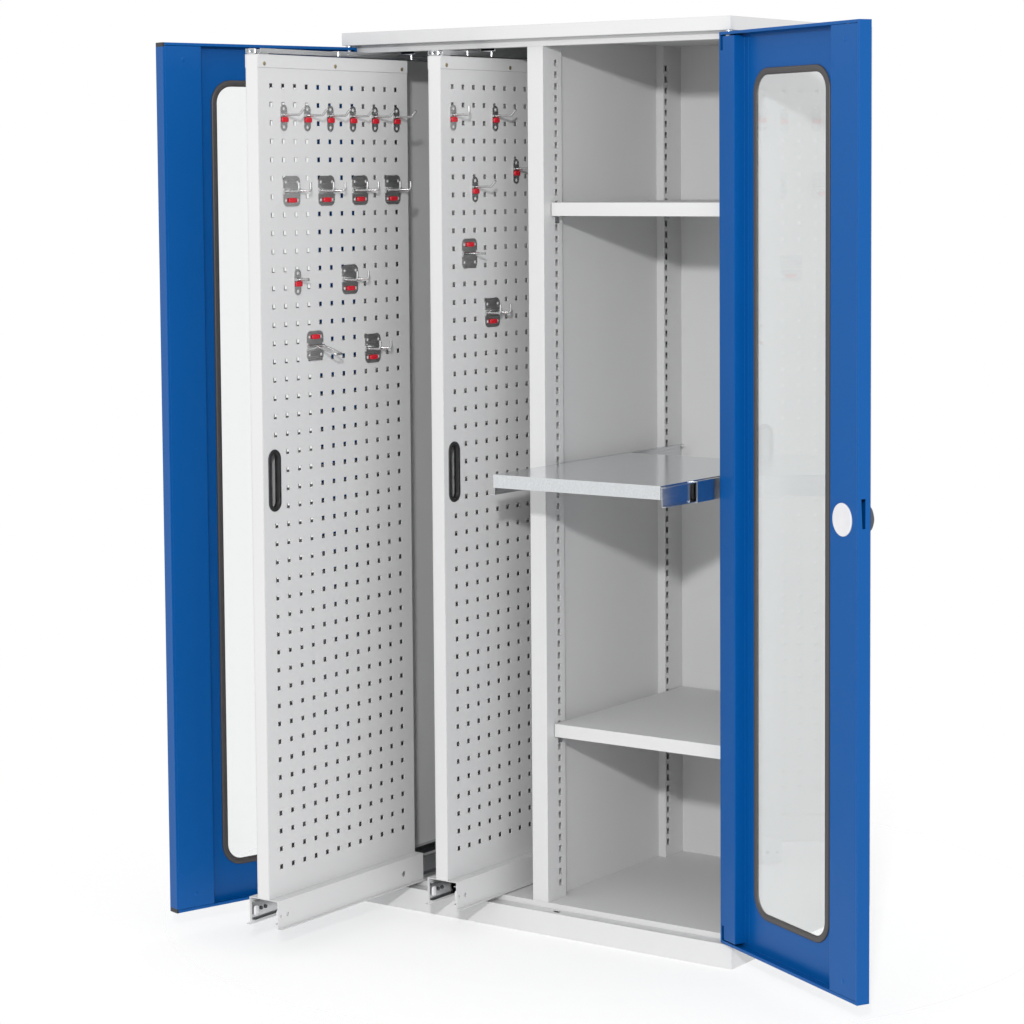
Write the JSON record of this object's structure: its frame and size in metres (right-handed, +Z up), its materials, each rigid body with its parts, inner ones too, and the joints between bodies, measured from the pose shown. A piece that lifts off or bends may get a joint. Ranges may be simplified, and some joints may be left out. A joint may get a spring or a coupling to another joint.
{
  "type": "tool cabinet with doors",
  "caption": "steel tool cabinet with hinged window doors, pull-out perforated tool panels with hooks, slotted posts, fixed shelves and a sliding shelf",
  "frame": {"origin": "centre of the base footprint, on the floor", "axes": "+X to the right seen from the front, +Y from the doors to the back, +Z up"},
  "size_m": [1.565, 1.07, 1.95],
  "materials": {
    "body_grey": "fine powder coat, light grey, satin",
    "door_blue": "smooth powder coat, deep blue, satin gloss",
    "zinc_steel": "rolled zinc-plated steel",
    "galvanised_steel": "galvanised sheet with a faint spangle",
    "hook_steel": "bright zinc-plated wire and plate",
    "black_plastic": "moulded black plastic",
    "red_plastic": "moulded red plastic",
    "white_plastic": "moulded white plastic",
    "knob_plastic": "moulded dark plastic over a steel spindle",
    "seal_rubber": "dark grey extruded rubber",
    "clear_pane": "clear acrylic"
  },
  "bodies": {
    "cabinet": {"base_plinth": "body_grey", "floor_deck": "body_grey", "left_wall": "body_grey", "right_wall": "body_grey", "back_panel": "body_grey", "roof_cap": "body_grey", "ceiling_panel": "body_grey", "top_rail": "body_grey", "partition_sheet": "body_grey", "partition_front_post": "body_grey", "partition_rear_post": "body_grey", "right_front_post": "body_grey", "right_rear_post": "body_grey", "upper_shelf": "body_grey", "lower_shelf": "body_grey", "shelf_clips": "zinc_steel", "shelf_slides_fixed": "zinc_steel", "hinge_pins": "zinc_steel", "floor_slides_fixed": "zinc_steel", "top_tracks": "zinc_steel"},
    "left_pullout": {"left_pullout_sheet_right": "body_grey", "left_pullout_sheet_left": "body_grey", "left_pullout_frame": "body_grey", "left_pullout_cap": "body_grey", "left_pullout_carriage": "body_grey", "left_pullout_runners": "zinc_steel", "left_pullout_grip_ring": "black_plastic", "left_pullout_hooks": "hook_steel", "left_pullout_hook_clips": "red_plastic"},
    "left_mid_slides": {"left_pullout_mid_slides": "zinc_steel"},
    "right_pullout": {"right_pullout_sheet_right": "body_grey", "right_pullout_sheet_left": "body_grey", "right_pullout_frame": "body_grey", "right_pullout_cap": "body_grey", "right_pullout_carriage": "body_grey", "right_pullout_runners": "zinc_steel", "right_pullout_grip_ring": "black_plastic", "right_pullout_hooks": "hook_steel", "right_pullout_hook_clips": "red_plastic"},
    "right_mid_slides": {"right_pullout_mid_slides": "zinc_steel"},
    "shelf_tray": {"sliding_shelf": "galvanised_steel", "shelf_slides_moving": "zinc_steel"},
    "shelf_mid_slides": {"shelf_slides_middle": "zinc_steel"},
    "left_door": {"left_door_skin": "door_blue", "left_door_stiffeners": "door_blue", "left_door_pane": "clear_pane", "left_door_seal": "seal_rubber", "left_door_bushes": "zinc_steel", "left_door_corner_caps": "black_plastic"},
    "right_door": {"right_door_skin": "door_blue", "right_door_stiffeners": "door_blue", "right_door_pane": "clear_pane", "right_door_seal": "seal_rubber", "right_door_bushes": "zinc_steel", "right_door_lock_box": "black_plastic", "right_door_lock_cap": "white_plastic"},
    "lock_knob": {"lock_knob": "knob_plastic"},
    "upper_lock_rod": {"upper_lock_rod": "zinc_steel"},
    "lower_lock_rod": {"lower_lock_rod": "zinc_steel"}
  },
  "joints": [
    {"name": "left_pullout_slide", "type": "slide", "parent": "cabinet", "child": "left_pullout", "axis": [0, -1, 0], "range_m": [-0.505, 0]},
    {"name": "left_mid_slide", "type": "slide", "parent": "cabinet", "child": "left_mid_slides", "axis": [0, -1, 0], "range_m": [-0.2525, 0]},
    {"name": "right_pullout_slide", "type": "slide", "parent": "cabinet", "child": "right_pullout", "axis": [0, -1, 0], "range_m": [-0.171, 0.334]},
    {"name": "right_mid_slide", "type": "slide", "parent": "cabinet", "child": "right_mid_slides", "axis": [0, -1, 0], "range_m": [-0.0855, 0.167]},
    {"name": "shelf_slide", "type": "slide", "parent": "cabinet", "child": "shelf_tray", "axis": [0, -1, 0], "range_m": [-0.252, 0.15]},
    {"name": "shelf_mid_slide", "type": "slide", "parent": "cabinet", "child": "shelf_mid_slides", "axis": [0, -1, 0], "range_m": [-0.126, 0.075]},
    {"name": "left_door_hinge", "type": "hinge", "parent": "cabinet", "child": "left_door", "pos_m": [-0.489, -0.289, 0.053], "axis": [0, 0, -1], "range_deg": [-22.5, 53.5]},
    {"name": "right_door_hinge", "type": "hinge", "parent": "cabinet", "child": "right_door", "pos_m": [0.489, -0.289, 0.053], "axis": [0, 0, 1], "range_deg": [-62.5, 7.5]},
    {"name": "lock_turn", "type": "hinge", "parent": "right_door", "child": "lock_knob", "pos_m": [0.88632, -0.47216, 0.979], "axis": [-0.4617, -0.887, 0], "range_deg": [0, 90]},
    {"name": "upper_rod_slide", "type": "slide", "parent": "right_door", "child": "upper_lock_rod", "axis": [0, 0, 1], "range_m": [0, 0.012]},
    {"name": "lower_rod_slide", "type": "slide", "parent": "right_door", "child": "lower_lock_rod", "axis": [0, 0, -1], "range_m": [0, 0.012]}
  ],
  "couplings": [
    {"joint": "left_mid_slide", "follows": "left_pullout_slide", "ratio": 0.5},
    {"joint": "right_mid_slide", "follows": "right_pullout_slide", "ratio": 0.5},
    {"joint": "shelf_mid_slide", "follows": "shelf_slide", "ratio": 0.5},
    {"joint": "upper_rod_slide", "follows": "lock_turn", "m_per_rad": 0.0076393},
    {"joint": "lower_rod_slide", "follows": "lock_turn", "m_per_rad": 0.0076393}
  ]
}
